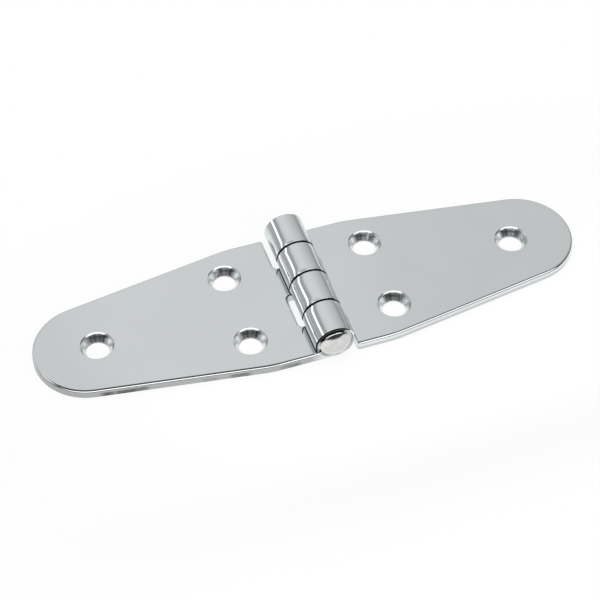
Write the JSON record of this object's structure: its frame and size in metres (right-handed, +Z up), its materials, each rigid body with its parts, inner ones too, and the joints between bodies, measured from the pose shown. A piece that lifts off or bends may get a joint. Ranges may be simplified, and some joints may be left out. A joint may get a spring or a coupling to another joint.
{
  "type": "strap hinge",
  "caption": "Polished strap hinge whose tapering, round-tipped leaves have countersunk screw holes and rolled knuckles that swing on a headed pin.",
  "frame": {"origin": "on the surface that the open hinge lies on, under the middle of the barrel", "axes": "+X across the pin towards the right leaf's tip, +Y along the pin, +Z up out of the countersunk faces"},
  "size_m": [0.14, 0.0426, 0.0101],
  "materials": {
    "leaf_steel": "mirror-polished stainless steel",
    "pin_steel": "mirror-polished stainless steel"
  },
  "bodies": {
    "left_side": {"left_leaf": "leaf_steel", "hinge_pin": "pin_steel"},
    "right_side": {"right_leaf": "leaf_steel"}
  },
  "joints": [
    {"name": "leaf_swing", "type": "hinge", "parent": "left_side", "child": "right_side", "pos_m": [0, 0, 0.00505], "axis": [0, -1, 0], "range_deg": [-90, 180]}
  ]
}
